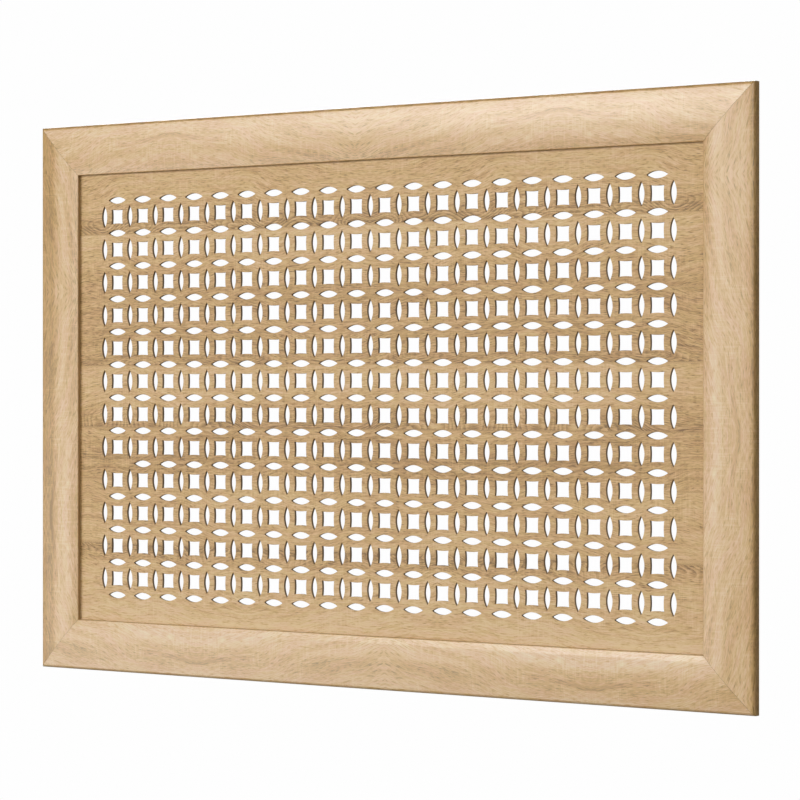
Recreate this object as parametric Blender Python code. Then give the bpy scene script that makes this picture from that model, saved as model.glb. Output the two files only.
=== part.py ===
"""Radiator screen: four mitred mouldings that hold a perforated lattice panel.

The screen hangs upright with its back to a wall. X runs along its width, -Y points out
of its front and Z up. The origin lies on the flat back of the top rail, at mid-length,
where the screen meets the wall. All lengths are in metres.
"""
import math

import bmesh
import bpy
from mathutils import Vector
from mathutils.geometry import delaunay_2d_cdt

# Overall sizes of the screen and its mouldings
SCREEN_WIDTH = 0.900
SCREEN_HEIGHT = 0.600
MEMBER_WIDTH = 0.055
TOUCH_GAP = 0.0003

# Moulding section, across from the outer edge and forward from the wall
ARRIS_RADIUS = 0.004
ARRIS_CENTRE_FORWARD = 0.0057
SHOULDER_SLOPE = math.radians(9.6)
SHOULDER_END_ACROSS = 0.009
CROWN_START_ACROSS = 0.022
CROWN_TOP_ACROSS = 0.035
CROWN_TOP_FORWARD = 0.0126
CROWN_RADIUS = 0.160
CROWN_END_ACROSS = 0.048
LIP_ACROSS = 0.0542
LIP_FORWARD = 0.01086
INNER_EDGE_FORWARD = 0.0101
ARRIS_FACETS = 5
CROWN_FACETS = 6

# Lattice panel and the groove that holds it
PANEL_FORWARD = 0.0050
PANEL_THICKNESS = 0.003
GROOVE_DEPTH = 0.008

# Pattern of overlapping flat rings, one round each square opening
RING_PITCH = 0.036
RING_INNER_RADIUS = 0.0217
RING_COLUMNS = 20
RING_ROWS = 12
LENS_ARC_FACETS = 3
# Distances from a square opening's centre, straight out to the middle of a side and to a corner
SQUARE_SIDE_REACH = 0.0073
SQUARE_CORNER_REACH = 0.00785
# One level lens was left uncut: its ring column and crossing row, counted from the centre
UNCUT_LENS = (-10, -2)

# Looks of the wood-decor foil: colour, roughness
MOULDING_FOIL = ((0.640, 0.455, 0.270), 0.50)
PANEL_FOIL = ((0.520, 0.350, 0.180), 0.60)

CENTRE_HEIGHT = MEMBER_WIDTH / 2 - SCREEN_HEIGHT / 2

# Settings of the sheet's triangulation: what it keeps, its merge distance and its outer outline
KEEP_INSIDE = 1
SHEET_TOLERANCE = 0.000001
PANEL_OUTLINE = 0


def clear_scene():
    """Removes every object that the opened file holds."""
    for item in list(bpy.data.objects):
        bpy.data.objects.remove(item, do_unlink=True)


def foil(name, look):
    """Makes the foil's material from its colour and roughness."""
    colour, roughness = look
    material = bpy.data.materials.new(name)
    material.use_nodes = True
    shader = material.node_tree.nodes["Principled BSDF"]
    shader.inputs["Base Color"].default_value = (*colour, 1.0)
    shader.inputs["Roughness"].default_value = roughness
    shader.inputs["Metallic"].default_value = 0.0
    material.diffuse_color = (*colour, 1.0)
    return material


def add_object(name, mesh, parent, turn=0.0):
    """Places a mesh as a named object, turned about the screen's centre."""
    item = bpy.data.objects.new(name, mesh)
    bpy.context.scene.collection.objects.link(item)
    item.parent = parent
    item.rotation_euler = (0.0, turn, 0.0)
    return item


def crown_forward(across):
    """Height of the shallow arc that crowns a moulding's face."""
    offset = across - CROWN_TOP_ACROSS
    return CROWN_TOP_FORWARD - CROWN_RADIUS + math.sqrt(CROWN_RADIUS ** 2 - offset ** 2)


def moulding_section():
    """Closed outline of a moulding as (across, forward) pairs, from its outer back edge."""
    outline = [(0.0, 0.0)]
    arris_sweep = math.pi / 2 - SHOULDER_SLOPE
    for step in range(ARRIS_FACETS + 1):
        angle = arris_sweep * step / ARRIS_FACETS
        across = ARRIS_RADIUS * (1.0 - math.cos(angle))
        outline.append((across, ARRIS_CENTRE_FORWARD + ARRIS_RADIUS * math.sin(angle)))
    arris_across, arris_forward = outline[-1]
    shoulder_rise = (SHOULDER_END_ACROSS - arris_across) * math.tan(SHOULDER_SLOPE)
    outline.append((SHOULDER_END_ACROSS, arris_forward + shoulder_rise))
    for step in range(CROWN_FACETS + 1):
        across = CROWN_START_ACROSS + (CROWN_END_ACROSS - CROWN_START_ACROSS) * step / CROWN_FACETS
        outline.append((across, crown_forward(across)))
    outline += [(LIP_ACROSS, LIP_FORWARD), (MEMBER_WIDTH, INNER_EDGE_FORWARD)]
    groove_floor = MEMBER_WIDTH - GROOVE_DEPTH
    groove_half = PANEL_THICKNESS / 2 + TOUCH_GAP
    outline += [
        (MEMBER_WIDTH, PANEL_FORWARD + groove_half),
        (groove_floor, PANEL_FORWARD + groove_half),
        (groove_floor, PANEL_FORWARD - groove_half),
        (MEMBER_WIDTH, PANEL_FORWARD - groove_half),
        (MEMBER_WIDTH, 0.0),
    ]
    return outline


def moulding_mesh(name, length, half_span):
    """Runs the section along X between two mitred ends.

    The outer edge lies half_span above the screen's centre and is length long.
    """
    mitre_inset = TOUCH_GAP / 2 * math.sqrt(2)
    section = moulding_section()
    bm = bmesh.new()
    ends = []
    for side in (-1, 1):
        ends.append([
            bm.verts.new((side * (length / 2 - across - mitre_inset), -forward, half_span - across))
            for across, forward in section
        ])
    close_prism(bm, ends)
    return finish_mesh(bm, name)


def close_prism(bm, ends):
    """Skins two matching loops of points and caps both of them."""
    first, second = ends
    count = len(first)
    for index in range(count):
        following = (index + 1) % count
        bm.faces.new((first[index], first[following], second[following], second[index]))
    bm.faces.new(first)
    bm.faces.new(second)


def finish_mesh(bm, name):
    """Points all faces outwards and hands the shape over as a mesh."""
    bmesh.ops.recalc_face_normals(bm, faces=bm.faces[:])
    mesh = bpy.data.meshes.new(name)
    bm.to_mesh(mesh)
    bm.free()
    return mesh


def lens_outline(upright):
    """Pointed opening where two neighbouring rings overlap.

    It is bounded by both rings' inner circles. The middle facet of each side touches
    its circle, so the opening keeps its true width.
    """
    reach = RING_PITCH / 2
    half_angle = math.acos(reach / RING_INNER_RADIUS)
    step_angle = 2 * half_angle / LENS_ARC_FACETS
    corner_radius = RING_INNER_RADIUS / math.cos(step_angle / 2)
    tip = RING_INNER_RADIUS * math.sin(half_angle)
    outline = []
    for side in (1, -1):
        outline.append((0.0, -side * tip))
        for step in range(1, LENS_ARC_FACETS):
            angle = side * (step * step_angle - half_angle)
            across = side * (corner_radius * math.cos(angle) - reach)
            outline.append((across, corner_radius * math.sin(angle)))
    if upright:
        return outline
    return [(z, x) for x, z in outline]


def square_outline():
    """Opening in the middle of a ring, a square whose real sides bow in a little.

    Its straight sides lie at the mean depth of those shallow arcs.
    """
    half = SQUARE_SIDE_REACH + (SQUARE_CORNER_REACH - SQUARE_SIDE_REACH) / 3
    return [(-half, -half), (half, -half), (half, half), (-half, half)]


def parting_edge(end_z):
    """Straight edge at mid-width, bottom to top, notched by half of each middle lens."""
    edge_x = -TOUCH_GAP / 2
    lens = lens_outline(True)
    _, tip = lens[LENS_ARC_FACETS]
    left_side = lens[LENS_ARC_FACETS + 1:]
    upper_x, upper_z = left_side[0]
    notch_tip = tip + (upper_z - tip) * edge_x / upper_x
    edge = [(edge_x, -end_z)]
    for row in range(-RING_ROWS // 2, RING_ROWS // 2):
        centre_z = (row + 0.5) * RING_PITCH
        edge.append((edge_x, centre_z - notch_tip))
        edge += [(x, centre_z + z) for x, z in reversed(left_side)]
        edge.append((edge_x, centre_z + notch_tip))
    edge.append((edge_x, end_z))
    return edge


def lattice_outlines(uncut):
    """Outer outline of the panel's left half, then the outline of each of its openings.

    Level lenses whose (column, row) is in uncut are left solid.
    """
    reach = GROOVE_DEPTH - TOUCH_GAP - MEMBER_WIDTH
    outer_x = SCREEN_WIDTH / 2 + reach
    outer_z = SCREEN_HEIGHT / 2 + reach
    outlines = [[(-outer_x, outer_z), (-outer_x, -outer_z)] + parting_edge(outer_z)]
    square = square_outline()
    upright_lens = lens_outline(True)
    level_lens = lens_outline(False)
    half_rows = RING_ROWS // 2
    for column in range(-RING_COLUMNS // 2, 0):
        ring_x = (column + 0.5) * RING_PITCH
        for row in range(-half_rows, half_rows):
            ring_z = (row + 0.5) * RING_PITCH
            outlines.append(moved(square, ring_x, ring_z))
            outlines.append(moved(upright_lens, column * RING_PITCH, ring_z))
        for row in range(-half_rows, half_rows + 1):
            if (column, row) not in uncut:
                outlines.append(moved(level_lens, ring_x, row * RING_PITCH))
    return outlines


def moved(outline, x, z):
    """Copy of an outline, carried to a place on the panel."""
    return [(point_x + x, point_z + z) for point_x, point_z in outline]


def lattice_sheet(uncut):
    """Flat triangulated sheet of the left half, as (x, z) points and the triangles to keep.

    Every opening is convex, so a triangle with all its corners on one opening's outline
    fills that opening, and is left out.
    """
    points = []
    edges = []
    outline_of = []
    for number, outline in enumerate(lattice_outlines(uncut)):
        first = len(points)
        points += [Vector(point) for point in outline]
        edges += [(first + index, first + (index + 1) % len(outline)) for index in range(len(outline))]
        outline_of += [number] * len(outline)
    sheet_points, _, triangles, sources, *_ = delaunay_2d_cdt(points, edges, [], KEEP_INSIDE, SHEET_TOLERANCE)
    owner = [outline_of[source[0]] for source in sources]
    kept = []
    for triangle in triangles:
        owners = {owner[index] for index in triangle}
        if len(owners) > 1 or owners == {PANEL_OUTLINE}:
            kept.append(triangle)
    return sheet_points, kept


def lattice_mesh(name, uncut):
    """Left half of the perforated panel, as a sheet given its thickness."""
    sheet_points, triangles = lattice_sheet(uncut)
    back = PANEL_THICKNESS / 2 - PANEL_FORWARD
    bm = bmesh.new()
    corners = [bm.verts.new((x, back, z)) for x, z in sheet_points]
    for triangle in triangles:
        bm.faces.new([corners[index] for index in triangle])
    front = bmesh.ops.extrude_face_region(bm, geom=bm.faces[:], use_keep_orig=True)["geom"]
    front_corners = [item for item in front if isinstance(item, bmesh.types.BMVert)]
    bmesh.ops.translate(bm, verts=front_corners, vec=(0.0, -PANEL_THICKNESS, 0.0))
    return finish_mesh(bm, name)


def add_frame(parent):
    """Adds the two rails and the two stiles round the panel."""
    material = foil("oak_foil_moulding", MOULDING_FOIL)
    rail = moulding_mesh("rail", SCREEN_WIDTH, SCREEN_HEIGHT / 2)
    stile = moulding_mesh("stile", SCREEN_HEIGHT, SCREEN_WIDTH / 2)
    for mesh in (rail, stile):
        mesh.materials.append(material)
    add_object("top_rail", rail, parent)
    add_object("bottom_rail", rail, parent, math.pi)
    add_object("right_stile", stile, parent, math.pi / 2)
    add_object("left_stile", stile, parent, -math.pi / 2)


def add_lattice(parent):
    """Adds the perforated panel, parted at mid-width through a column of openings.

    The pattern looks the same after half a turn, so the right half is a left half turned.
    """
    material = foil("oak_foil_panel", PANEL_FOIL)
    for name, turn, uncut in (("lattice_left", 0.0, [UNCUT_LENS]), ("lattice_right", math.pi, [])):
        mesh = lattice_mesh(name, uncut)
        mesh.materials.append(material)
        add_object(name, mesh, parent, turn)


def build_screen():
    """Builds the whole screen round an empty at its centre."""
    clear_scene()
    centre = bpy.data.objects.new("screen_centre", None)
    centre.location = (0.0, 0.0, CENTRE_HEIGHT)
    bpy.context.scene.collection.objects.link(centre)
    add_frame(centre)
    add_lattice(centre)
    bpy.context.view_layer.update()


build_screen()
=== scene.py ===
"""Radiator screen, dressed: four foil-wrapped mouldings mitred round a perforated lattice board.

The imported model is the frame. The mouldings and the lattice are modelled here with fine
sections and dressed with procedural oak decor. Lengths are in metres, in the frame's own
coordinates: X along the width, -Y out of the front, +Z up, with the origin on the back of
the top rail at mid-length.
"""

import logging
import math
from collections.abc import Callable, Iterator
from contextlib import contextmanager
from dataclasses import dataclass, replace
from enum import Enum

import bmesh
import bpy
from mathutils import Matrix, Vector


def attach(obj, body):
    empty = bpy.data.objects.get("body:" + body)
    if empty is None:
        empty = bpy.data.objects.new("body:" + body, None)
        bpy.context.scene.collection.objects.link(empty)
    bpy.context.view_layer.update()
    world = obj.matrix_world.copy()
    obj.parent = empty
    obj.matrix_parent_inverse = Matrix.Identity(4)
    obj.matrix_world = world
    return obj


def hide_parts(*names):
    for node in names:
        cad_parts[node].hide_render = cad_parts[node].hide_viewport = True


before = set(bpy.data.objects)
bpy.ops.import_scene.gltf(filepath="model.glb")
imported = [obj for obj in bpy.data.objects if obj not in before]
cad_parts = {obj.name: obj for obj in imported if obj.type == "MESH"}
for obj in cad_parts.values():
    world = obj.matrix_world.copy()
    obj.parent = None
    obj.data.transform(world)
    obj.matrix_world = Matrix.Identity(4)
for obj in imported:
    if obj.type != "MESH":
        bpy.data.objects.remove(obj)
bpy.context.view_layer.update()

LOG = logging.getLogger("radiator_screen")
BODY = "root"
BOARD_SLOT = "panel_foil"
MOULDING_SLOT = "moulding_foil"

# A millimetre, the tolerance of a cut, and the distance within which points count as one
MM = 0.001
HAIR = 0.001 * MM
NEAR = 0.01 * MM

# A Mix node's colour sockets by number, because its sockets for other data share their names
MIX_A, MIX_B, MIX_RESULT = 6, 7, 2

Element = bmesh.types.BMEdge | bmesh.types.BMFace
Material = bpy.types.Material
Node = bpy.types.Node
Piece = bpy.types.Object
Socket = bpy.types.NodeSocket
Tree = bpy.types.NodeTree


class GrainAxis(Enum):
    """Direction in which the printed grain runs, as the turn that lays it along X."""

    LEVEL = 0.0
    UPRIGHT = math.pi / 2


class Kind(Enum):
    """Kind of element that is selected in edit mode, as a mesh names its list."""

    EDGE = "edges"
    FACE = "faces"


class Side(Enum):
    """Side of a cell, as its axis, 0 for X or 2 for Z, and whether it is the higher one."""

    LEFT = (0, False)
    RIGHT = (0, True)
    BOTTOM = (2, False)
    TOP = (2, True)


@contextmanager
def editing(piece: Piece) -> Iterator[None]:
    """Opens one piece in edit mode with nothing selected, and closes it again.

    Args:
        piece: the mesh object to edit.
    """
    make_only(piece)
    bpy.ops.object.mode_set(mode="EDIT")
    bpy.ops.mesh.select_all(action="DESELECT")
    try:
        yield
    finally:
        bpy.ops.object.mode_set(mode="OBJECT")


def make_only(piece: Piece) -> None:
    """Selects a piece alone and makes it the active one.

    Args:
        piece: the piece.
    """
    bpy.ops.object.select_all(action="DESELECT")
    piece.select_set(True)
    bpy.context.view_layer.objects.active = piece


def select_only(piece: Piece, kind: Kind, wanted: Callable[[Element], bool]) -> None:
    """Selects just the edges or just the faces that pass a test, in edit mode.

    Args:
        piece: the mesh object being edited.
        kind: which of them are tested.
        wanted: the test.
    """
    bpy.ops.mesh.select_mode(type=kind.name)
    bpy.ops.mesh.select_all(action="DESELECT")
    mesh = bmesh.from_edit_mesh(piece.data)
    for element in [item for item in getattr(mesh, kind.value) if wanted(item)]:
        element.select = True
    bmesh.update_edit_mesh(piece.data)


def select_faces(piece: Piece, wanted: Callable[[Vector, Vector], bool]) -> None:
    """Selects just the faces whose centre and normal pass a test, in edit mode."""
    select_only(piece, Kind.FACE, lambda face: wanted(face.calc_center_median(), face.normal))


def add_block(name: str, low: Vector, high: Vector) -> Piece:
    """Adds a rectangular block between two corners, with its origin at the frame's.

    Args:
        name: the object's name.
        low: lowest corner.
        high: highest corner.

    Returns:
        The block.
    """
    bpy.ops.object.select_all(action="DESELECT")
    bpy.ops.mesh.primitive_cube_add(size=1.0, location=(low + high) / 2, scale=high - low)
    block = bpy.context.active_object
    block.name = name
    block.data.name = name
    bake_place(block)
    return block


def bake_place(piece: Piece) -> None:
    """Moves an object's place, turn and scale into its mesh."""
    make_only(piece)
    bpy.ops.object.transform_apply(location=True, rotation=True, scale=True)


def apply_modifier(piece: Piece, modifier: bpy.types.Modifier) -> None:
    """Applies one modifier of a piece."""
    make_only(piece)
    bpy.ops.object.modifier_apply(modifier=modifier.name)


def cut_out(piece: Piece, cutter: Piece) -> None:
    """Cuts one shape out of another, and removes the cutter.

    Args:
        piece: the shape that is cut.
        cutter: the closed shape that is taken away.
    """
    cut = piece.modifiers.new("cut", "BOOLEAN")
    cut.operation = "DIFFERENCE"
    cut.solver = "EXACT"
    cut.object = cutter
    apply_modifier(piece, cut)
    mesh = cutter.data
    bpy.data.objects.remove(cutter, do_unlink=True)
    bpy.data.meshes.remove(mesh)


def repeat(piece: Piece, count: int, step: Vector) -> None:
    """Repeats a cell in a row and welds each to the next.

    Args:
        piece: the first cell, which grows into the whole row.
        count: how many cells the row has.
        step: distance from one cell to the next.
    """
    row = piece.modifiers.new("row", "ARRAY")
    row.count = count
    row.use_relative_offset = False
    row.use_constant_offset = True
    row.constant_offset_displace = step
    row.use_merge_vertices = True
    row.merge_threshold = NEAR
    apply_modifier(piece, row)


def copy_turned(piece: Piece, name: str, turn: float, centre: Vector) -> Piece:
    """Copies a piece with a mesh of its own, turned about an axis that runs front to back.

    Args:
        piece: the piece to copy.
        name: the copy's name.
        turn: angle of the turn.
        centre: a point on the axis.

    Returns:
        The copy.
    """
    copy = piece.copy()
    copy.data = piece.data.copy()
    copy.name = name
    copy.data.name = name
    bpy.context.scene.collection.objects.link(copy)
    about = Matrix.Translation(centre)
    copy.matrix_world = about @ Matrix.Rotation(turn, 4, "Y") @ about.inverted()
    bake_place(copy)
    return copy


def join_all(pieces: list[Piece], name: str) -> Piece:
    """Joins several pieces into one and welds the points that meet.

    Args:
        pieces: the pieces to join.
        name: the name of the result.

    Returns:
        The joined piece.
    """
    make_only(pieces[0])
    for piece in pieces:
        piece.select_set(True)
    bpy.ops.object.join()
    whole = bpy.context.active_object
    whole.name = name
    whole.data.name = name
    with editing(whole):
        bpy.ops.mesh.select_all(action="SELECT")
        bpy.ops.mesh.remove_doubles(threshold=NEAR)
        bpy.ops.mesh.normals_make_consistent(inside=False)
    return whole


def linear(colour: str, alpha: float = 1.0) -> tuple[float, float, float, float]:
    """Turns an sRGB hex colour into linear values.

    Args:
        colour: six hex digits after a hash sign.
        alpha: the fourth value.

    Returns:
        Red, green, blue and alpha.
    """
    values = (int(colour[index:index + 2], 16) / 255 for index in (1, 3, 5))
    red, green, blue = (v / 12.92 if v <= 0.04045 else ((v + 0.055) / 1.055) ** 2.4 for v in values)
    return red, green, blue, alpha


def add_node(tree: Tree, kind: str, settings: dict, feeds: dict) -> Node:
    """Adds a node with its settings and feeds its inputs.

    Args:
        tree: the material's node tree.
        kind: Blender's name for the type of node.
        settings: the node's properties with their values.
        feeds: input sockets, by name or number, each with a value or with the output that feeds it.

    Returns:
        The node.
    """
    node = tree.nodes.new(kind)
    for name, value in settings.items():
        setattr(node, name, value)
    for socket, feed in feeds.items():
        if isinstance(feed, Socket):
            tree.links.new(feed, node.inputs[socket])
        else:
            node.inputs[socket].default_value = feed
    return node


def new_material(name: str) -> tuple[Material, Tree, Node]:
    """Makes an empty material.

    Args:
        name: the material's name.

    Returns:
        The material, its node tree and its Principled shader.
    """
    material = bpy.data.materials.new(name)
    material.use_nodes = True
    tree = material.node_tree
    return material, tree, tree.nodes["Principled BSDF"]


@dataclass(frozen=True)
class Plank:
    """One board of the printed decor, between two straight joints that run along the grain. On the
    mouldings its tones also paint the shade and sheen that fall across the section.

    Attributes:
        width: its width across the grain, in mm.
        first_tone: how dark its first edge is, from 0, pale, to 1, dark brown.
        last_tone: how dark its last edge is.
        heart: how strongly the curved rings of the heart show, from 0 to 1.
        heart_first: whether the heart lies along the first edge.
        heart_depth: how far the rings reach from that edge, in mm.
    """

    width: float
    first_tone: float
    last_tone: float
    heart: float = 0.0
    heart_first: bool = False
    heart_depth: float = 27.0

    def stops(self, start: float, joint: float, shift: float) -> list[tuple[float, float, float, float]]:
        """Lists the plank's stops on the plan across the grain.

        Args:
            start: place of its first edge, in mm.
            joint: distance from an edge within which it blends into its neighbour, in mm.
            shift: its own shift of the print, from 0 to 1.

        Returns:
            For each stop its place in mm, the tone, the strength of the heart and the shift.
        """
        end = start + self.width
        soft = min(joint, self.width / 2)
        first_heart, last_heart = (self.heart, 0.0) if self.heart_first else (0.0, self.heart)
        stops = [(start + soft, self.first_tone, first_heart, shift)]
        if self.heart:
            inner = start + self.heart_depth if self.heart_first else end - self.heart_depth
            share = (inner - start) / self.width
            tone = self.first_tone + (self.last_tone - self.first_tone) * share
            stops.append((inner, tone, 0.0, shift))
        stops.append((end - soft, self.last_tone, last_heart, shift))
        return stops


@dataclass(frozen=True)
class Streaks:
    """Noise that is stretched along the grain of a print.

    Attributes:
        along: size of a streak along the grain, in mm.
        across: its size across the grain, in mm.
        detail: how many finer octaves it has.
        depth: the most that it changes what it is laid on.
        span: the noise at which it starts to show and that at which it shows in full. Without
            a span the noise is taken as it is.
        fade: strength of each octave beside the one before it.
    """

    along: float
    across: float
    detail: float
    depth: float = 1.0
    span: tuple[float, float] | None = None
    fade: float = 0.55

    def draw(self, tree: Tree, place: Socket) -> Socket:
        """Adds the noise to a material.

        Args:
            tree: the material's node tree.
            place: coordinates in mm with the grain along X.

        Returns:
            The noise, from 0 to 1, or with a span, from 0 to the depth.
        """
        stretched = add_node(tree, "ShaderNodeVectorMath", {"operation": "MULTIPLY"}, {
            0: place, 1: (1 / self.along, 1 / self.across, 1 / self.across),
        }).outputs[0]
        noise = add_node(tree, "ShaderNodeTexNoise", {}, {
            "Vector": stretched, "Scale": 1.0, "Detail": self.detail, "Roughness": self.fade,
        }).outputs[0]
        if self.span is None:
            return noise
        low, high = self.span
        return add_node(tree, "ShaderNodeMapRange", {"interpolation_type": "SMOOTHSTEP"}, {
            "Value": noise, "From Min": low, "From Max": high, "To Min": 0.0, "To Max": self.depth,
        }).outputs[0]


@dataclass(frozen=True)
class OakDecorFoil:
    """Paper foil printed and embossed as rough-sawn sonoma oak, sealed with satin lacquer.

    The print gives pale beige planks with streaks along the grain, a gentle flame figure, short
    dark pores and faint pale saw marks across. The lacquer gives a broad sheen. Real oak pores
    are 0.3 mm wide and real fibres finer still, so both are drawn about 1 mm wide to show. The
    print repeats, mirrored, along the grain, so its figure stands in chevrons.

    Attributes:
        name: the material's name.
        grain: direction of the grain.
        first_edge: place of the first plank's outer edge, in mm.
        inward: 1 where the planks follow it upwards on their axis, and -1 where downwards.
        planks: the printed boards, whose widths add up to the piece's own. On the mouldings their tones
            also hold painted shade and painted sheen.
        roughness: how matt the lacquer is.
        tones: the wood's colours, from pale to dark, with their places.
        rosy: tint of the print's warmer patches.
        olive: tint of its cooler patches.
        ior: refractive index of the lacquer.
        specular_level: strength of its sheen, where 0.5 is the shader's usual one.
        clouds: broad light and dark parts.
        stripes: light and dark stripes along the grain.
        fibres: single fibres.
        pores: short dark pits.
        saw_marks: fine pale marks across the grain.
        saw_patches: patches in which they show.
        tints: patches of the two tints.
        rings: field whose level lines are the growth rings.
        drift: sideways drift of the grain.
        mirror_length: length of the print, in mm.
        mirror_start: how far along its length the print starts, in mm.
        slant: how far the flames lean across for each mm along.
        wander: how far the grain drifts sideways, in mm.
        plank_shift: how far the print moves on from plank to plank, as a share.
        shift_reach: how many lengths of the print a full shift is.
        joint: distance from an edge within which planks blend, in mm.
        ring_count: how many growth rings the heart's field is cut into.
        ring_span: part of each ring over which it darkens.
        ring_depth: how much darker it gets.
        heart_depth: how much darker the heart is as a whole.
        emboss: strength of the pressed relief.
        emboss_height: its height in mm.
    """

    name: str
    grain: GrainAxis
    first_edge: float
    inward: float
    planks: tuple[Plank, ...]
    roughness: float
    tones: tuple[tuple[float, str], ...]
    rosy: str = "#FAF3ED"
    olive: str = "#F9F7E7"
    ior: float = 1.5
    specular_level: float = 1.0
    clouds: Streaks = Streaks(190.0, 15.0, 3.0, 0.26)
    stripes: Streaks = Streaks(80.0, 5.0, 3.0, 0.34)
    fibres: Streaks = Streaks(8.0, 0.9, 3.0, 0.55)
    pores: Streaks = Streaks(7.0, 0.9, 1.0, 0.26, (0.56, 0.68))
    saw_marks: Streaks = Streaks(1.4, 26.0, 2.0, -1.0, (0.46, 0.66))
    saw_patches: Streaks = Streaks(60.0, 30.0, 1.0, 0.13, (0.46, 0.62))
    tints: Streaks = Streaks(30.0, 7.0, 2.0, 1.0, (0.36, 0.64))
    rings: Streaks = Streaks(75.0, 26.0, 0.0)
    drift: Streaks = Streaks(100.0, 65.0, 1.0)
    mirror_length: float = 248.0
    mirror_start: float = 0.0
    slant: float = 0.22
    wander: float = 15.0
    plank_shift: float = 0.37
    shift_reach: float = 3.0
    joint: float = 0.15
    ring_count: float = 22.0
    ring_span: tuple[float, float] = (0.15, 1.0)
    ring_depth: float = 0.8
    heart_depth: float = 0.15
    emboss: float = 0.10
    emboss_height: float = 0.2

    def make(self) -> Material:
        """Builds the foil's material.

        Returns:
            The material.
        """
        material, tree, shader = new_material(self.name)
        place = self.print_coordinates(tree)
        tone, heart, shift = self.plank_plan(tree, place)
        grain = self.wandering(tree, place, shift)
        layers = (self.clouds, self.stripes, self.fibres)
        noises = [streaks.draw(tree, grain) for streaks in layers]
        for noise, streaks in zip(noises, layers):
            change = add_node(tree, "ShaderNodeMath", {"operation": "MULTIPLY_ADD"}, {
                0: noise, 1: 2 * streaks.depth, 2: -streaks.depth,
            }).outputs[0]
            tone = add_node(tree, "ShaderNodeMath", {"operation": "ADD"}, {0: tone, 1: change}).outputs[0]
        tone = self.ringed(tree, grain, tone, heart)
        pits = self.pores.draw(tree, grain)
        tone = add_node(tree, "ShaderNodeMath", {"operation": "ADD"}, {0: tone, 1: pits}).outputs[0]
        tone = self.sawn(tree, grain, tone)
        tree.links.new(self.coloured(tree, grain, tone), shader.inputs["Base Color"])
        self.embossed(tree, shader, noises[-1], pits)
        shader.inputs["Roughness"].default_value = self.roughness
        shader.inputs["IOR"].default_value = self.ior
        shader.inputs["Specular IOR Level"].default_value = self.specular_level
        return material

    def print_coordinates(self, tree: Tree) -> Socket:
        """Lays the grain along X in mm, with Z counted across from the first edge.

        Args:
            tree: the material's node tree.

        Returns:
            The coordinates.
        """
        place = add_node(tree, "ShaderNodeTexCoord", {}, {})
        turned = add_node(tree, "ShaderNodeMapping", {}, {
            "Vector": place.outputs["Object"],
            "Location": (self.mirror_start, 0.0, -self.first_edge),
            "Rotation": (0.0, self.grain.value, 0.0),
            "Scale": (1 / MM,) * 3,
        }).outputs["Vector"]
        return add_node(tree, "ShaderNodeVectorMath", {"operation": "MULTIPLY"}, {
            0: turned, 1: (1.0, 1.0, self.inward),
        }).outputs[0]

    def plank_plan(self, tree: Tree, place: Socket) -> tuple[Socket, Socket, Socket]:
        """Reads each plank's tone, heart and own shift of the print from one ramp across the grain.

        Args:
            tree: the material's node tree.
            place: coordinates of the print.

        Returns:
            The tone, the strength of the heart and the shift, each from 0 to 1.
        """
        total = sum(plank.width for plank in self.planks)
        stops = []
        start = 0.0
        for number, plank in enumerate(self.planks):
            stops += plank.stops(start, self.joint, self.plank_shift * number % 1.0)
            start += plank.width
        across = add_node(tree, "ShaderNodeSeparateXYZ", {}, {0: place}).outputs["Z"]
        height = add_node(tree, "ShaderNodeMath", {"operation": "DIVIDE"}, {0: across, 1: total}).outputs[0]
        plan = add_node(tree, "ShaderNodeValToRGB", {}, {0: height})
        self.fill_ramp(plan.color_ramp, [(stop[0] / total, (*stop[1:], 1.0)) for stop in stops])
        parts = add_node(tree, "ShaderNodeSeparateColor", {}, {0: plan.outputs[0]}).outputs
        return parts[0], parts[1], parts[2]

    def fill_ramp(self, ramp: bpy.types.ColorRamp, stops: list[tuple[float, tuple]]) -> None:
        """Gives a ramp its stops.

        Args:
            ramp: the ramp, which starts with two stops.
            stops: place and colour of each stop.
        """
        while len(ramp.elements) < len(stops):
            ramp.elements.new(1.0)
        for element, (position, colour) in zip(ramp.elements, stops):
            element.position = position
            element.color = colour

    def wandering(self, tree: Tree, place: Socket, shift: Socket) -> Socket:
        """Mirrors the print along the grain, shifts it from plank to plank and lets the grain wander.

        Args:
            tree: the material's node tree.
            place: coordinates of the print.
            shift: shift of each plank, from 0 to 1.

        Returns:
            The wandering coordinates.
        """
        parts = add_node(tree, "ShaderNodeSeparateXYZ", {}, {0: place}).outputs
        along = add_node(tree, "ShaderNodeMath", {"operation": "MULTIPLY_ADD"}, {
            0: shift, 1: self.mirror_length * self.shift_reach, 2: parts["X"],
        }).outputs[0]
        folded = add_node(tree, "ShaderNodeMath", {"operation": "PINGPONG"}, {
            0: along, 1: self.mirror_length,
        }).outputs[0]
        depth = add_node(tree, "ShaderNodeMath", {"operation": "MULTIPLY_ADD"}, {
            0: shift, 1: self.mirror_length, 2: parts["Y"],
        }).outputs[0]
        straight = add_node(tree, "ShaderNodeCombineXYZ", {}, {
            "X": folded, "Y": depth, "Z": parts["Z"],
        }).outputs[0]
        flame = add_node(tree, "ShaderNodeMath", {"operation": "MULTIPLY"}, {
            0: folded, 1: self.slant,
        }).outputs[0]
        swayed = add_node(tree, "ShaderNodeMath", {"operation": "MULTIPLY_ADD"}, {
            0: self.drift.draw(tree, straight), 1: 2 * self.wander, 2: flame,
        }).outputs[0]
        sideways = add_node(tree, "ShaderNodeCombineXYZ", {}, {"Z": swayed}).outputs[0]
        return add_node(tree, "ShaderNodeVectorMath", {"operation": "ADD"}, {
            0: straight, 1: sideways,
        }).outputs[0]

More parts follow.
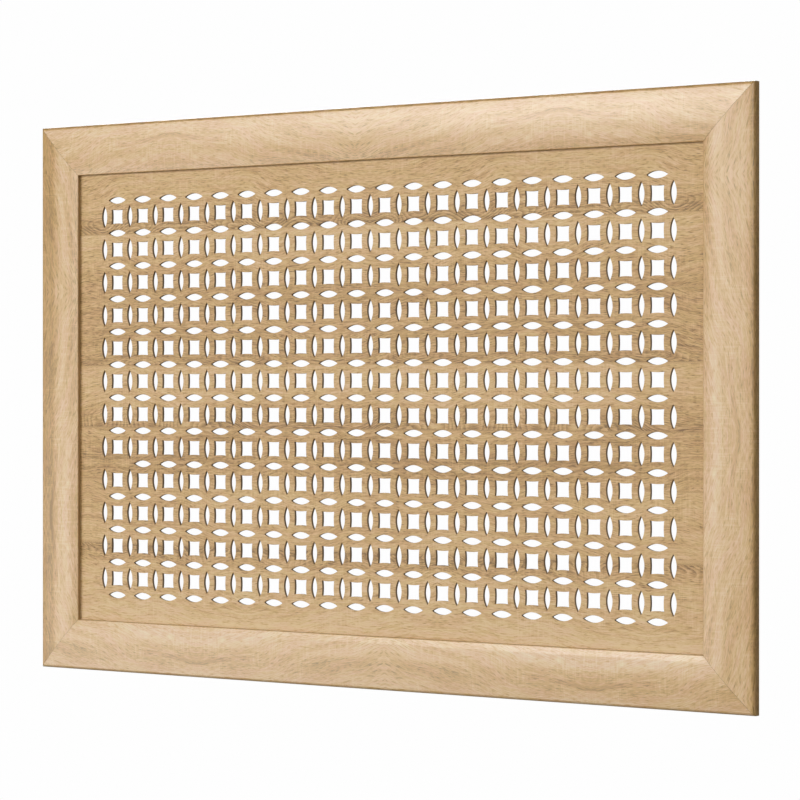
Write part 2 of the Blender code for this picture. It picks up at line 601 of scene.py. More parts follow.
    def ringed(self, tree: Tree, grain: Socket, tone: Socket, heart: Socket) -> Socket:
        """Draws the heart's growth rings as level lines of a smooth field, which gives arcs and loops.

        Args:
            tree: the material's node tree.
            grain: coordinates along the grain.
            tone: the tone so far.
            heart: strength of the heart.

        Returns:
            The new tone.
        """
        counted = add_node(tree, "ShaderNodeMath", {"operation": "MULTIPLY"}, {
            0: self.rings.draw(tree, grain), 1: self.ring_count,
        }).outputs[0]
        ring = add_node(tree, "ShaderNodeMath", {"operation": "FRACT"}, {0: counted}).outputs[0]
        low, high = self.ring_span
        line = add_node(tree, "ShaderNodeMapRange", {"interpolation_type": "SMOOTHSTEP"}, {
            "Value": ring, "From Min": low, "From Max": high, "To Min": 0.0, "To Max": self.ring_depth,
        }).outputs[0]
        dark = add_node(tree, "ShaderNodeMath", {"operation": "MULTIPLY_ADD"}, {
            0: line, 1: heart, 2: tone,
        }).outputs[0]
        return add_node(tree, "ShaderNodeMath", {"operation": "MULTIPLY_ADD"}, {
            0: heart, 1: self.heart_depth, 2: dark,
        }).outputs[0]

    def sawn(self, tree: Tree, grain: Socket, tone: Socket) -> Socket:
        """Draws faint pale saw marks across the grain, in patches.

        Args:
            tree: the material's node tree.
            grain: coordinates along the grain.
            tone: the tone so far.

        Returns:
            The new tone.
        """
        return add_node(tree, "ShaderNodeMath", {"operation": "MULTIPLY_ADD"}, {
            0: self.saw_marks.draw(tree, grain), 1: self.saw_patches.draw(tree, grain), 2: tone,
        }).outputs[0]

    def coloured(self, tree: Tree, grain: Socket, tone: Socket) -> Socket:
        """Turns the tone into wood colours, clouded with a rosy and an olive tint.

        Args:
            tree: the material's node tree.
            grain: coordinates along the grain.
            tone: the finished tone.

        Returns:
            The colour.
        """
        wood = add_node(tree, "ShaderNodeValToRGB", {}, {0: tone})
        self.fill_ramp(wood.color_ramp, [(place, linear(colour)) for place, colour in self.tones])
        tint = add_node(tree, "ShaderNodeMix", {"data_type": "RGBA"}, {
            "Factor": self.tints.draw(tree, grain), MIX_A: linear(self.rosy), MIX_B: linear(self.olive),
        }).outputs[MIX_RESULT]
        return add_node(tree, "ShaderNodeMix", {"data_type": "RGBA", "blend_type": "MULTIPLY"}, {
            "Factor": 1.0, MIX_A: wood.outputs[0], MIX_B: tint,
        }).outputs[MIX_RESULT]

    def embossed(self, tree: Tree, shader: Node, fibre: Socket, pits: Socket) -> None:
        """Presses fibres and pores lightly into the surface.

        Args:
            tree: the material's node tree.
            shader: the Principled shader.
            fibre: noise of the fibres.
            pits: share that each point lies in a pore.
        """
        relief = add_node(tree, "ShaderNodeMath", {"operation": "SUBTRACT"}, {0: fibre, 1: pits}).outputs[0]
        bump = add_node(tree, "ShaderNodeBump", {}, {
            "Strength": self.emboss, "Distance": self.emboss_height * MM, "Height": relief,
        })
        tree.links.new(bump.outputs["Normal"], shader.inputs["Normal"])


@dataclass(frozen=True)
class RawFibreboard:
    """Bare fibreboard, pressed from wood fibre and cut: matt, dull and finely felted.

    Attributes:
        name: the material's name.
        base: its general colour.
        fleck: colour of its darker fibres.
        fleck_size: size of a fibre bundle in mm. Real ones are 0.1 mm thick, so these are
            drawn coarser to show.
        cloud_size: size of the faint clouds that pressing leaves, in mm.
        detail: how many finer octaves both have.
        mottle: sum of both at which the darker fibres start, and at which they cover all.
        relief: strength of the felted relief.
        relief_height: its height in mm.
        roughness: how matt the board is.
    """

    name: str
    base: str
    fleck: str
    fleck_size: float = 1.6
    cloud_size: float = 24.0
    detail: float = 4.0
    mottle: tuple[float, float] = (0.75, 1.35)
    relief: float = 0.15
    relief_height: float = 0.1
    roughness: float = 0.85

    def make(self) -> Material:
        """Builds the board's material.

        Returns:
            The material.
        """
        material, tree, shader = new_material(self.name)
        place = add_node(tree, "ShaderNodeTexCoord", {}, {})
        felt, cloud = (
            add_node(tree, "ShaderNodeTexNoise", {}, {
                "Vector": place.outputs["Object"], "Scale": 1 / (size * MM), "Detail": self.detail,
            }).outputs[0]
            for size in (self.fleck_size, self.cloud_size)
        )
        both = add_node(tree, "ShaderNodeMath", {"operation": "ADD"}, {0: felt, 1: cloud}).outputs[0]
        low, high = self.mottle
        share = add_node(tree, "ShaderNodeMapRange", {}, {
            "Value": both, "From Min": low, "From Max": high,
        }).outputs[0]
        colour = add_node(tree, "ShaderNodeMix", {"data_type": "RGBA"}, {
            "Factor": share, MIX_A: linear(self.base), MIX_B: linear(self.fleck),
        }).outputs[MIX_RESULT]
        tree.links.new(colour, shader.inputs["Base Color"])
        bump = add_node(tree, "ShaderNodeBump", {}, {
            "Strength": self.relief, "Distance": self.relief_height * MM, "Height": felt,
        })
        tree.links.new(bump.outputs["Normal"], shader.inputs["Normal"])
        shader.inputs["Roughness"].default_value = self.roughness
        return material


@dataclass
class ScreenSizes:
    """Sizes that the mouldings and the lattice share."""

    width: float = 0.900
    height: float = 0.600
    member_width: float = 0.055
    depth: float = 0.0126
    touch_gap: float = 0.0003
    board_forward: float = 0.0050
    board_thickness: float = 0.003
    groove_depth: float = 0.008

    @property
    def centre(self) -> Vector:
        """Middle of the screen, on its back plane."""
        return Vector((0.0, 0.0, (self.member_width - self.height) / 2))


@dataclass
class MitredFrame:
    """Four mouldings, each planed from a blank, grooved and mitred.

    Places on the section are measured across from the outer edge and forward from the
    back. A tilt is the angle of a plane's normal from straight forward to outward. A share
    is the least part of a face's normal that counts as pointing straight along an axis, or
    along the moulding at a mitre.
    """

    sizes: ScreenSizes
    arris_radius: float = 0.004
    arris_centre_forward: float = 0.0057
    shoulder_tilt: float = math.radians(9.6)
    shoulder_end_across: float = 0.009
    crown_start_across: float = 0.022
    crown_top_across: float = 0.035
    crown_radius: float = 0.160
    crown_end_across: float = 0.048
    lip_across: float = 0.0542
    lip_forward: float = 0.01086
    inner_edge_forward: float = 0.0101
    arris_cuts: int = 12
    crown_cuts: int = 9
    crease_relief: float = 0.00002
    lip_relief: float = 0.00006
    mitre_gap: float = 0.0002
    smooth_angle: float = math.radians(30)
    square_share: float = 0.9
    mitre_share: float = 0.5

    def crown_forward(self, across: float) -> float:
        """Height of the crown's arc at a distance across."""
        offset = across - self.crown_top_across
        return self.sizes.depth - self.crown_radius + math.sqrt(self.crown_radius ** 2 - offset ** 2)

    def section_cuts(self) -> list[tuple[float, float, float]]:
        """Lists the planing cuts that shape the section.

        Returns:
            For each cut, a point on it as across and forward, and its tilt.
        """
        cuts = []
        sweep = math.pi / 2 - self.shoulder_tilt
        for step in range(1, self.arris_cuts):
            tilt = math.pi / 2 - sweep * step / self.arris_cuts
            cuts.append((
                self.arris_radius * (1 - math.sin(tilt)),
                self.arris_centre_forward + self.arris_radius * math.cos(tilt),
                tilt,
            ))
        shoulder_start = (
            self.arris_radius * (1 - math.sin(self.shoulder_tilt)),
            self.arris_centre_forward + self.arris_radius * math.cos(self.shoulder_tilt),
        )
        cuts.append((*shoulder_start, self.shoulder_tilt))
        run = self.shoulder_end_across - shoulder_start[0]
        shoulder_end = (self.shoulder_end_across, shoulder_start[1] + run * math.tan(self.shoulder_tilt))
        crown_start = (self.crown_start_across, self.crown_forward(self.crown_start_across))
        crown_end = (self.crown_end_across, self.crown_forward(self.crown_end_across))
        lip = (self.lip_across, self.lip_forward)
        inner_edge = (self.sizes.member_width, self.inner_edge_forward)
        rise_tilt = math.atan2(crown_start[1] - shoulder_end[1], crown_start[0] - shoulder_end[0])
        fall_tilt = math.atan2(lip[1] - crown_end[1], lip[0] - crown_end[0])
        lip_tilt = math.atan2(inner_edge[1] - lip[1], inner_edge[0] - lip[0])
        cuts.append((*crown_start, rise_tilt))
        cuts.append((*crown_end, fall_tilt))
        cuts.append((*inner_edge, lip_tilt))
        crown_tilt = math.asin((self.crown_top_across - self.crown_start_across) / self.crown_radius)
        for step in range(self.crown_cuts + 1):
            tilt = crown_tilt * (1 - 2 * step / self.crown_cuts)
            across = self.crown_top_across - self.crown_radius * math.sin(tilt)
            cuts.append((across, self.crown_forward(across), tilt))
        creases = (
            (shoulder_end, self.shoulder_tilt, rise_tilt, self.crease_relief),
            (crown_start, rise_tilt, crown_tilt, self.crease_relief),
            (crown_end, -crown_tilt, fall_tilt, self.crease_relief),
            (lip, fall_tilt, lip_tilt, self.lip_relief),
            (inner_edge, lip_tilt, -math.pi / 2, self.lip_relief),
        )
        for (across, forward), before, after, relief in creases:
            tilt = (before + after) / 2
            cuts.append((across + relief * math.sin(tilt), forward - relief * math.cos(tilt), tilt))
        return cuts

    def plane_blank(self, name: str, length: float, half_span: float) -> Piece:
        """Shapes a moulding that lies level above the screen's centre.

        Args:
            name: the moulding's name.
            length: its length along the outer edge.
            half_span: distance of its outer edge from the screen's centre.

        Returns:
            The moulding.
        """
        sizes = self.sizes
        top = sizes.centre.z + half_span
        blank = add_block(
            name,
            Vector((-length / 2, -sizes.depth, top - sizes.member_width)),
            Vector((length / 2, 0.0, top)),
        )
        with editing(blank):
            for across, forward, tilt in self.section_cuts():
                bpy.ops.mesh.select_all(action="SELECT")
                bpy.ops.mesh.bisect(
                    plane_co=(0.0, -forward, top - across),
                    plane_no=(0.0, -math.cos(tilt), math.sin(tilt)),
                    use_fill=True,
                    clear_outer=True,
                    threshold=HAIR,
                )
            self.plough_groove(blank, top - sizes.member_width)
            self.cut_mitres(length, top)
        return blank

    def plough_groove(self, blank: Piece, inner_edge: float) -> None:
        """Ploughs the groove for the board into the inner edge.

        Args:
            blank: the moulding, in edit mode.
            inner_edge: height of its inner edge.
        """
        sizes = self.sizes
        half = sizes.board_thickness / 2 + sizes.touch_gap
        for forward in (sizes.board_forward - half, sizes.board_forward + half):
            select_faces(blank, lambda centre, normal: abs(centre.z - inner_edge) < NEAR)
            bpy.ops.mesh.bisect(
                plane_co=(0.0, -forward, inner_edge), plane_no=(0.0, 1.0, 0.0), threshold=HAIR
            )
        select_faces(
            blank,
            lambda centre, normal: abs(centre.z - inner_edge) < NEAR
            and abs(centre.y + sizes.board_forward) < half,
        )
        bpy.ops.mesh.extrude_region_move(TRANSFORM_OT_translate={"value": (0.0, 0.0, sizes.groove_depth)})

    def cut_mitres(self, length: float, top: float) -> None:
        """Cuts both ends at 45 degrees, clear of the neighbours by half of a fine joint.

        Args:
            length: the moulding's length along the outer edge.
            top: height of its outer edge.
        """
        inset = self.mitre_gap / 2 * math.sqrt(2)
        for side in (-1.0, 1.0):
            bpy.ops.mesh.select_all(action="SELECT")
            bpy.ops.mesh.bisect(
                plane_co=(side * (length / 2 - inset), 0.0, top),
                plane_no=(side, 0.0, -1.0),
                use_fill=True,
                clear_outer=True,
                threshold=HAIR,
            )

    def dress(self, moulding: Piece, foil: Material, raw: Material, edge_shade: Material) -> None:
        """Wraps the show faces in foil, paints shade on the inner edge in a darker brown and leaves the
        rest bare.

        Args:
            moulding: the level moulding.
            foil: material of the foil.
            raw: material of the bare board.
            edge_shade: darker brown material of the inner edge, above the board, which paints the shade
                that falls there.
        """
        sizes = self.sizes
        inner_edge = min((moulding.matrix_world @ Vector(corner)).z for corner in moulding.bound_box)

        def is_bare(centre: Vector, normal: Vector) -> bool:
            """Tells a back, mitre or groove face by its place and normal.

            Args:
                centre: the face's centre.
                normal: its normal.

            Returns:
                Whether the face is one of these.
            """
            in_groove = (
                abs(centre.y + sizes.board_forward) < sizes.board_thickness
                and sizes.touch_gap < centre.z - inner_edge < sizes.groove_depth + sizes.touch_gap
            )
            return normal.y > self.square_share or abs(normal.x) > self.mitre_share or in_groove

        def is_inner_edge(centre: Vector, normal: Vector) -> bool:
            """Tells the narrow face that stands above the lattice board."""
            return normal.z < -self.square_share and abs(centre.z - inner_edge) < sizes.touch_gap

        for material in (foil, raw, edge_shade):
            moulding.data.materials.append(material)
        # Slot 1 takes the bare faces and slot 2 the inner edge, whose darker brown is painted shade.
        for index, wanted in enumerate((is_bare, is_inner_edge), start=1):
            with editing(moulding):
                select_faces(moulding, wanted)
                moulding.active_material_index = index
                bpy.ops.object.material_slot_assign()
        make_only(moulding)
        bpy.ops.object.shade_smooth_by_angle(angle=self.smooth_angle)
        crisp = moulding.modifiers.new("crisp creases", "WEIGHTED_NORMAL")
        crisp.keep_sharp = True
        apply_modifier(moulding, crisp)

    def build(self, foils: dict[str, Material], raw: Material, edge_shade: Material) -> None:
        """Makes the two rails and the two stiles.

        Args:
            foils: material of each moulding's foil, by the name of its node.
            raw: material of the bare board.
            edge_shade: darker brown material of the inner edges, which paints the shade that falls there.
        """
        sizes = self.sizes
        turns = {
            "rail": {"top_rail": 0.0, "bottom_rail": math.pi},
            "stile": {"left_stile": -math.pi / 2, "right_stile": math.pi / 2},
        }
        spans = {"rail": (sizes.width, sizes.height / 2), "stile": (sizes.height, sizes.width / 2)}
        for kind, placed in turns.items():
            pattern = self.plane_blank(kind, *spans[kind])
            self.dress(pattern, foils[next(iter(placed))], raw, edge_shade)
            for node, turn in placed.items():
                moulding = copy_turned(pattern, f"{node}_moulding", turn, sizes.centre)
                moulding.data.materials[0] = foils[node]
                hand_over(moulding, MOULDING_SLOT, node)
            bpy.data.objects.remove(pattern, do_unlink=True)


@dataclass
class LatticeBoard:
    """Thin hardboard, cut through with a pattern of overlapping flat rings.

    The board is welded from cells: one for each ring, and strips round them for the margin.
    The uncut lens is counted from the centre, in columns of rings and rows of crossings. A
    share is the least part of a face's normal that points forward where the face bears foil,
    or forward or back where it is flat.
    """

    sizes: ScreenSizes
    pitch: float = 0.036
    ring_inner_radius: float = 0.0217
    square_side_reach: float = 0.0073
    square_corner_reach: float = 0.00785
    columns: int = 20
    rows: int = 12
    inner_facets: int = 60
    bow_facets: int = 120
    arris: float = 0.00025
    uncut_lens: tuple[int, int] = (-10, -2)
    smooth_angle: float = math.radians(30)
    sharp_angle: float = math.radians(45)
    foil_share: float = 0.5
    flat_share: float = 0.99

    @property
    def front(self) -> float:
        """Y of the front face."""
        return -self.sizes.board_forward - self.sizes.board_thickness / 2

    @property
    def back(self) -> float:
        """Y of the back face."""
        return self.front + self.sizes.board_thickness

    @property
    def bow_radius(self) -> float:
        """Radius of the shallow arcs that bow a square opening's sides inwards."""
        sag = self.square_corner_reach - self.square_side_reach
        return (self.square_corner_reach ** 2 + sag ** 2) / (2 * sag)

    @property
    def half_pattern(self) -> Vector:
        """Half the pattern's width and height, as X and Z."""
        return Vector((self.columns * self.pitch / 2, 0.0, self.rows * self.pitch / 2))

    @property
    def half_board(self) -> Vector:
        """Half the board's width and height, as X and Z."""
        reach = self.sizes.groove_depth - self.sizes.touch_gap - self.sizes.member_width
        return Vector((self.sizes.width / 2 + reach, 0.0, self.sizes.height / 2 + reach))

    def cell(self, name: str, low: Vector, high: Vector) -> Piece:
        """Adds a blank of the board.

        Args:
            name: the blank's name.
            low: its lowest corner, from the screen's centre.
            high: its highest corner.

        Returns:
            The blank.
        """
        centre = self.sizes.centre
        return add_block(
            name,
            Vector((low.x, self.front, centre.z + low.z)),
            Vector((high.x, self.back, centre.z + high.z)),
        )

    def cutter(self, radius: float, facets: int, x: float, z: float, reach: float = 3.0) -> Piece:
        """Adds a disc as a cutter, with its axis front to back.

        Args:
            radius: the disc's radius.
            facets: how many sides it has.
            x: place of its axis, from the screen's centre.
            z: height of its axis, from the screen's centre.
            reach: its depth, in thicknesses of the board.

        Returns:
            The disc.
        """
        bpy.ops.object.select_all(action="DESELECT")
        bpy.ops.mesh.primitive_cylinder_add(
            vertices=facets,
            radius=radius,
            depth=reach * self.sizes.board_thickness,
            location=(x, -self.sizes.board_forward, self.sizes.centre.z + z),
            rotation=(math.pi / 2, 0.0, 0.0),
        )
        disc = bpy.context.active_object
        bake_place(disc)
        return disc

    def ring_cell(self) -> Piece:
        """Cuts the cell of the lowest left ring.

        Four discs cut half of each lens, and what four much wider discs leave of a block
        cuts the opening in the middle.

        Returns:
            The cell.
        """
        half = self.pitch / 2
        x = half - self.half_pattern.x
        z = half - self.half_pattern.z
        cell = self.cell("rings", Vector((x - half, 0.0, z - half)), Vector((x + half, 0.0, z + half)))
        through = self.sizes.board_thickness
        opening = add_block(
            "opening",
            Vector((x - half, self.front - through, self.sizes.centre.z + z - half)),
            Vector((x + half, self.back + through, self.sizes.centre.z + z + half)),
        )
        around = ((1, 0), (0, 1), (-1, 0), (0, -1))
        away = self.square_side_reach + self.bow_radius
        for right, up in around:
            cut_out(opening, self.cutter(
                self.bow_radius, self.bow_facets, x + right * away, z + up * away, reach=6.0
            ))
        cut_out(cell, opening)
        for right, up in around:
            cut_out(cell, self.cutter(
                self.ring_inner_radius, self.inner_facets, x + right * self.pitch, z + up * self.pitch
            ))
        return cell

    def ease_and_open(self, cell: Piece, low: Vector, high: Vector, open_sides: set[Side]) -> None:
        """Eases the openings' front arrises and takes off the sides that meet other cells.

        Args:
            cell: the cut cell.
            low: lowest corner of its blank, from the screen's centre.
            high: highest corner of its blank.
            open_sides: the sides that are taken off.
        """
        centre = self.sizes.centre

        def is_on(side: Side, point: Vector) -> bool:
            """Tells whether a point lies on one side of the blank.

            Args:
                side: which side.
                point: the point, in the frame's coordinates.

            Returns:
                Whether it lies there.
            """
            axis, is_higher = side.value
            corner = high if is_higher else low
            return abs(point[axis] - centre[axis] - corner[axis]) < NEAR

        def is_front_arris(edge: bmesh.types.BMEdge) -> bool:
            """Tells an opening's front edge from the blank's own edges.

            Args:
                edge: an edge of the cell.

            Returns:
                Whether it is one to ease.
            """
            start, end = (vertex.co for vertex in edge.verts)
            if abs(start.y - self.front) > NEAR or abs(end.y - self.front) > NEAR:
                return False
            if len(edge.link_faces) != 2 or edge.calc_face_angle() < self.sharp_angle:
                return False
            return not any(is_on(side, start) and is_on(side, end) for side in Side)

        with editing(cell):
            select_only(cell, Kind.EDGE, is_front_arris)
            bpy.ops.mesh.bevel(offset=self.arris, segments=1, affect="EDGES", clamp_overlap=True)
            select_faces(cell, lambda point, normal: any(is_on(side, point) for side in open_sides))
            bpy.ops.mesh.delete(type="FACE")

    def build_rings(self) -> Piece:
        """Makes the whole field of rings from one cell.

        Returns:
            The field of rings.
        """
        cell = self.ring_cell()
        low = Vector((-self.half_pattern.x, 0.0, -self.half_pattern.z))
        self.ease_and_open(cell, low, low + Vector((self.pitch, 0.0, self.pitch)), set(Side))
        repeat(cell, self.columns, Vector((self.pitch, 0.0, 0.0)))
        repeat(cell, self.rows, Vector((0.0, 0.0, self.pitch)))
        return cell

    def build_margins(self) -> list[Piece]:
        """Makes the strips round the field of rings, and the four corners.

        A strip is one cell, cut with half a lens and repeated. Each margin is made once and
        copied by half a turn to the other side.

        Returns:
            The pieces of the margin.
        """
        pitch = self.pitch
        field_x, _, field_z = self.half_pattern
        board_x, _, board_z = self.half_board
        up = (self.rows, Vector((0.0, 0.0, pitch)))
        right = (self.columns, Vector((pitch, 0.0, 0.0)))
        plans = (
            ("side", (-board_x, -field_z), (-field_x, pitch - field_z), set(Side) - {Side.LEFT}, up),
            ("end", (-field_x, -board_z), (pitch - field_x, -field_z), set(Side) - {Side.BOTTOM}, right),
            ("low_corner", (-board_x, -board_z), (-field_x, -field_z), {Side.RIGHT, Side.TOP}, None),
            ("high_corner", (-board_x, field_z), (-field_x, board_z), {Side.RIGHT, Side.BOTTOM}, None),
        )
        pieces = []
        for name, (low_x, low_z), (high_x, high_z), open_sides, row in plans:
            low, high = Vector((low_x, 0.0, low_z)), Vector((high_x, 0.0, high_z))
            margin = self.cell(name, low, high)
            if row:
                cut_out(margin, self.cutter(
                    self.ring_inner_radius, self.inner_facets, pitch / 2 - field_x, pitch / 2 - field_z
                ))
            self.ease_and_open(margin, low, high, open_sides)
            if row:
                repeat(margin, *row)
            pieces += [margin, copy_turned(margin, f"far_{name}", math.pi, self.sizes.centre)]
        return pieces

    def close_lens(self, board: Piece) -> None:
        """Fills the one level lens that was left uncut.

        Args:
            board: the welded board.
        """
        column, row = self.uncut_lens
        x = (column + 0.5) * self.pitch
        z = row * self.pitch + self.sizes.centre.z
        reach = self.ring_inner_radius - self.pitch / 2 + self.arris * 2

        def is_wall(centre: Vector, normal: Vector) -> bool:
            """Tells the faces round the lens by their place."""
            is_near = abs(centre.x - x) < self.pitch / 2 and abs(centre.z - z) < reach
            return is_near and abs(normal.y) < self.flat_share

        with editing(board):
            select_faces(board, is_wall)
            bpy.ops.mesh.delete(type="FACE")
            for face_y in (self.front, self.back):
                select_only(board, Kind.EDGE, lambda edge: edge.is_boundary and all(
                    abs(vertex.co.y - face_y) < self.arris / 2 for vertex in edge.verts
                ))
                bpy.ops.mesh.edge_face_add()
            bpy.ops.mesh.select_all(action="SELECT")
            bpy.ops.mesh.normals_make_consistent(inside=False)

    def build(self, foil: Material, raw: Material) -> None:
        """Makes, dresses and hands over the board.

        Args:
            foil: material of the front.
            raw: material of the back and of the cut walls.
        """
        board = join_all([self.build_rings(), *self.build_margins()], "lattice_board")
        self.close_lens(board)
        board.data.materials.append(foil)
        board.data.materials.append(raw)
        with editing(board):
            select_faces(board, lambda centre, normal: normal.y > -self.foil_share)
            board.active_material_index = 1
            bpy.ops.object.material_slot_assign()
        make_only(board)
        bpy.ops.object.shade_smooth_by_angle(angle=self.smooth_angle)
        hand_over(board, BOARD_SLOT, "lattice_left", "lattice_right")


def hand_over(piece: Piece, slot: str, *nodes: str) -> None:
    """Ties a finished piece to the frame and reports it.

    Args:
        piece: the finished piece.
        slot: the record's material slot; not used.
        nodes: the nodes that it stands for.
    """
    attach(piece, BODY)
    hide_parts(*nodes)
    check = bmesh.new()
    check.from_mesh(piece.data)
    open_edges = sum(not edge.is_manifold for edge in check.edges)
    triangles = sum(len(face.verts) - 2 for face in check.faces)
    check.free()
    stood_for = ", ".join(nodes)
    LOG.info("%s: %d triangles, %d open edges, for %s", piece.name, triangles, open_edges, stood_for)


@dataclass(frozen=True)
class Softbox:
    """Rectangular light that faces the screen.

    Attributes:
        name: the light's name.
        azimuth: its direction from the screen, in degrees.
        elevation: its height above the horizon, in degrees.
        size: its width and height.
        power: its power in watts.
        distance: how far away it is.
        colour: its colour.
    """

    name: str
    azimuth: float
    elevation: float
    size: tuple[float, float]
    power: float
    distance: float = 7.0
    colour: str = "#FFFFFF"


@dataclass
class Studio:
    """White studio with a soft key light, broad fills and the camera.

    Directions are azimuth and elevation from the screen, in degrees: azimuth 0 is straight
    in front of it, and a positive azimuth lies to its right.
    """

    aim_place: tuple[float, float, float] = (0.0368, -0.0049, -0.2745)
    camera_azimuth: float = 35.3877
    camera_elevation: float = 0.1475
    camera_distance: float = 3.1099
    focal_length: float = 136.805
    sensor_width: float = 36.0
    floor_height: float = -0.90
    floor_facets: int = 64
    room_radius: float = 12.0
    room_facets: int = 48
    paper: str = "#FEFEFE"
    ambient_colour: str = "#EEF4FF"
    ambient_strength: float = 0.06
    softboxes: tuple[Softbox, ...] = (
        Softbox("key_softbox", -32.0, 20.0, (1.4, 1.4), 114.0),
        Softbox("front_fill", -16.0, 6.0, (2.6, 2.6), 77.0),
        Softbox("low_left_fill", -47.0, -14.0, (3.6, 3.8), 128.0),
        Softbox("right_fill", 35.0, 16.0, (1.6, 2.4), 142.0),
        Softbox("high_right_fill", 75.0, 50.0, (1.4, 1.4), 90.0, colour="#DAE7FF"),
        Softbox("back_fill", -145.0, 15.0, (2.0, 2.0), 130.0, distance=3.5),
    )

    def add_facing(
        self, name: str, data: bpy.types.ID, azimuth: float, elevation: float, distance: float
    ) -> Piece:
        """Adds a camera or a light that looks at the screen.

        Args:
            name: the object's name.
            data: the camera or the light.
            azimuth: its direction from the screen, in degrees.
            elevation: its height above the horizon, in degrees.
            distance: how far away it is.

        Returns:
            The object.
        """
        turn, lift = math.radians(azimuth), math.radians(elevation)
        level = math.cos(lift)
        direction = Vector((math.sin(turn) * level, -math.cos(turn) * level, math.sin(lift)))
        aim = Vector(self.aim_place)
        item = bpy.data.objects.new(name, data)
        bpy.context.scene.collection.objects.link(item)
        item.location = aim + direction * distance
        item.rotation_euler = (aim - item.location).to_track_quat("-Z", "Y").to_euler()
        return item

    def add_camera(self) -> None:
        """Adds the camera and makes it the scene's."""
        data = bpy.data.cameras.new("camera")
        data.lens = self.focal_length
        data.sensor_width = self.sensor_width
        bpy.context.scene.camera = self.add_facing(
            "camera", data, self.camera_azimuth, self.camera_elevation, self.camera_distance
        )

    def add_softbox(self, box: Softbox) -> None:
        """Adds one of the lights.

        Args:
            box: the light's place, size, power and colour.
        """
        data = bpy.data.lights.new(box.name, "AREA")
        data.shape = "RECTANGLE"
        data.size, data.size_y = box.size
        data.energy = box.power
        data.color = linear(box.colour)[:3]
        self.add_facing(box.name, data, box.azimuth, box.elevation, box.distance)

    def add_room(self) -> None:
        """Adds the pale floor and the round backdrop, which light nothing and take no shadow."""
        material = bpy.data.materials.new("white_paper_sweep")
        material.use_nodes = True
        tree = material.node_tree
        tree.nodes.clear()
        glow = add_node(tree, "ShaderNodeEmission", {}, {"Color": linear(self.paper), "Strength": 1.0})
        add_node(tree, "ShaderNodeOutputMaterial", {}, {"Surface": glow.outputs[0]})
        bpy.ops.object.select_all(action="DESELECT")
        bpy.ops.mesh.primitive_circle_add(
            vertices=self.floor_facets,
            radius=self.room_radius,
            fill_type="NGON",
            location=(0.0, 0.0, self.floor_height),
        )
        floor = bpy.context.active_object
        floor.name = "pale_floor"
        bpy.ops.mesh.primitive_uv_sphere_add(
            segments=self.room_facets, ring_count=self.room_facets // 2, radius=self.room_radius
        )
        backdrop = bpy.context.active_object
        backdrop.name = "backdrop"
        for item in (floor, backdrop):
            item.data.materials.append(material)
            item.visible_diffuse = False
            item.visible_glossy = False
            item.visible_transmission = False
            item.visible_shadow = False

    def add_ambient(self) -> None:
        """Lights everything weakly from all round."""
        world = bpy.data.worlds.new("studio_ambient")
        world.use_nodes = True
        background = world.node_tree.nodes["Background"]
        background.inputs["Color"].default_value = linear(self.ambient_colour)
        background.inputs["Strength"].default_value = self.ambient_strength
        bpy.context.scene.world = world

    def build(self) -> None:
        """Sets up the camera, the room, the lights and the plain view transform."""
        self.add_camera()
        self.add_room()
        self.add_ambient()
        for box in self.softboxes:
            self.add_softbox(box)
        bpy.context.scene.view_settings.view_transform = "Standard"


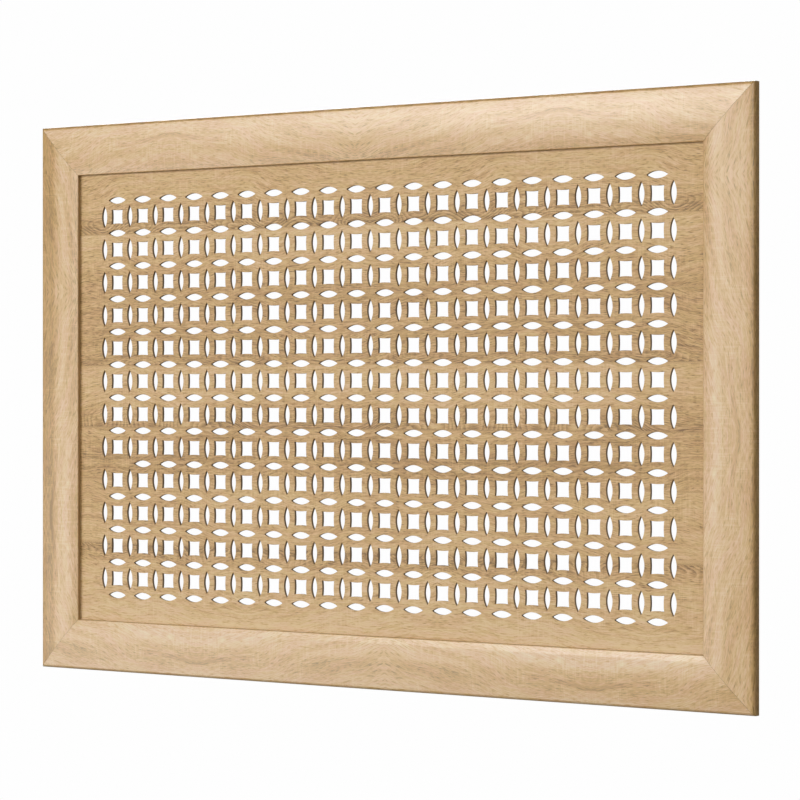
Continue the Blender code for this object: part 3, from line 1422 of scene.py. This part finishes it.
def moulding_foils(sizes: ScreenSizes) -> dict[str, Material]:
    """Makes the foil of each moulding, its planks laid out from the outer edge inwards. The narrow dark
    strips at the outer arrises are painted shade, and the lighter and darker bands across the other faces
    are partly print and partly painted sheen and shade from how the light falls on each slope.

    Args:
        sizes: sizes of the screen, whose edges the planks start from.

    Returns:
        The foils by the name of their node.
    """
    side = sizes.width / 2 / MM
    top = sizes.member_width / 2 / MM
    bottom = top - sizes.height / MM
    # Tones are partly print and partly painted light: the dark 2.4 mm first strips of the top rail and
    # right stile are painted shade on the rounded arris, and the other bands mix the print with painted
    # sheen and shade of each slope.
    laid = {
        "top_rail": (GrainAxis.LEVEL, top, -1.0, 15.0, (
            Plank(2.4, 0.72, 0.72), Plank(12.6, 0.36, 0.35), Plank(9.0, 0.50, 0.47),
            Plank(12.0, 0.41, 0.43), Plank(9.0, 0.50, 0.52), Plank(10.0, 0.60, 0.60),
        )),
        "bottom_rail": (GrainAxis.LEVEL, bottom, 1.0, -22.0, (
            Plank(17.0, 0.38, 0.52), Plank(15.0, 0.58, 0.54), Plank(15.0, 0.39, 0.34),
            Plank(8.0, 0.30, 0.34),
        )),
        "left_stile": (GrainAxis.UPRIGHT, side, -1.0, 155.0, (
            Plank(20.0, 0.66, 0.78), Plank(12.0, 0.56, 0.38), Plank(12.0, 0.34, 0.43),
            Plank(11.0, 0.56, 0.58),
        )),
        "right_stile": (GrainAxis.UPRIGHT, -side, 1.0, 60.0, (
            Plank(2.4, 0.76, 0.76), Plank(5.6, 0.60, 0.52), Plank(24.0, 0.46, 0.48),
            Plank(12.0, 0.36, 0.36), Plank(11.0, 0.49, 0.54),
        )),
    }
    tones = ((0.0, "#F4DFC2"), (0.35, "#EAC79A"), (0.65, "#D8AE71"), (1.0, "#A8834B"))
    return {
        node: OakDecorFoil(
            f"sonoma_oak_foil_{node}", grain, edge, inward, planks, roughness=0.36, tones=tones,
            mirror_start=start, joint=2.5, plank_shift=0.0,
        ).make()
        for node, (grain, edge, inward, start, planks) in laid.items()
    }


def board_foil(sizes: ScreenSizes) -> Material:
    """Makes the foil of the lattice board, its planks laid out from the top down.

    Args:
        sizes: sizes of the screen, whose groove the planks start from.

    Returns:
        The foil.
    """
    top = -(sizes.member_width / 2 - sizes.groove_depth + sizes.touch_gap) / MM
    planks = (
        Plank(73.2, 0.28, 0.45, heart=0.55),
        Plank(72.5, 0.24, 0.54),
        Plank(72.0, 0.53, 0.44, heart=0.42, heart_depth=18.0),
        Plank(68.0, 0.32, 0.45, heart=0.50),
        Plank(57.0, 0.50, 0.55),
        Plank(68.0, 0.42, 0.36),
        Plank(94.7, 0.42, 0.08, heart=0.55, heart_first=True),
    )
    base = OakDecorFoil(
        "sonoma_oak_foil_board", GrainAxis.LEVEL, top, -1.0, planks, roughness=0.60, slant=0.08,
        tones=((0.0, "#ECCDA1"), (0.35, "#DEB87F"), (0.65, "#C39859"), (1.0, "#896630")),
    )
    return replace(
        base,
        clouds=replace(base.clouds, depth=0.20),
        fibres=replace(base.fibres, along=9.0, across=0.85, depth=0.68),
        pores=replace(base.pores, depth=0.34),
    ).make()


def main() -> None:
    """Builds the dressed screen and its studio."""
    logging.basicConfig(level=logging.INFO, format="%(name)s: %(message)s")
    sizes = ScreenSizes()
    Studio().build()
    MitredFrame(sizes).build(
        moulding_foils(sizes),
        RawFibreboard("raw_mdf", base="#B08D63", fleck="#97754D").make(),
        # The inner edges get a darker, browner board colour, which paints the shade that falls on them.
        RawFibreboard("brown_stained_mdf_edge", base="#B08C5A", fleck="#967545").make(),
    )
    hardboard = RawFibreboard("raw_hardboard", base="#A58C6C", fleck="#8C7355").make()
    LatticeBoard(sizes).build(board_foil(sizes), hardboard)


if __name__ == "__main__":
    main()
